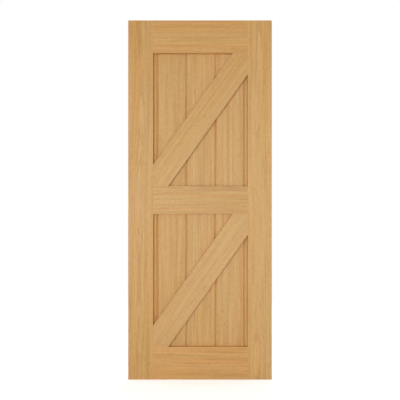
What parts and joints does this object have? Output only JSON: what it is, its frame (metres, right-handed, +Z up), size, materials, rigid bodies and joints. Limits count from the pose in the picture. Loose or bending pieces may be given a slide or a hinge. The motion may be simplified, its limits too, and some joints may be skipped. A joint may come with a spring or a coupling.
{
  "type": "framed ledged and braced door leaf",
  "caption": "Framed, ledged and braced door leaf in oak: stiles, rails and diagonal braces over full-height vee-jointed boards, made to hang in a door frame.",
  "frame": {"origin": "the foot of the hanging edge, at the middle of the leaf's thickness", "axes": "+X runs from the hanging edge to the lock edge, +Y from the braced face to the boarded face, and +Z up"},
  "size_m": [0.813, 0.044, 2.032],
  "materials": {
    "stile_oak": "planed and sanded light oak with a thin clear satin oil",
    "rail_oak": "planed and sanded light oak with a thin clear satin oil",
    "brace_oak": "planed and sanded light oak with a thin clear satin oil",
    "board_oak": "planed and sanded light oak with a thin clear satin oil"
  },
  "bodies": {
    "root": {"hanging_stile": "stile_oak", "lock_stile": "stile_oak", "top_rail": "rail_oak", "middle_rail": "rail_oak", "bottom_rail": "rail_oak", "upper_brace": "brace_oak", "lower_brace": "brace_oak", "hanging_edge_board": "board_oak", "board_1": "board_oak", "board_2": "board_oak", "board_3": "board_oak", "lock_edge_board": "board_oak"}
  },
  "joints": []
}
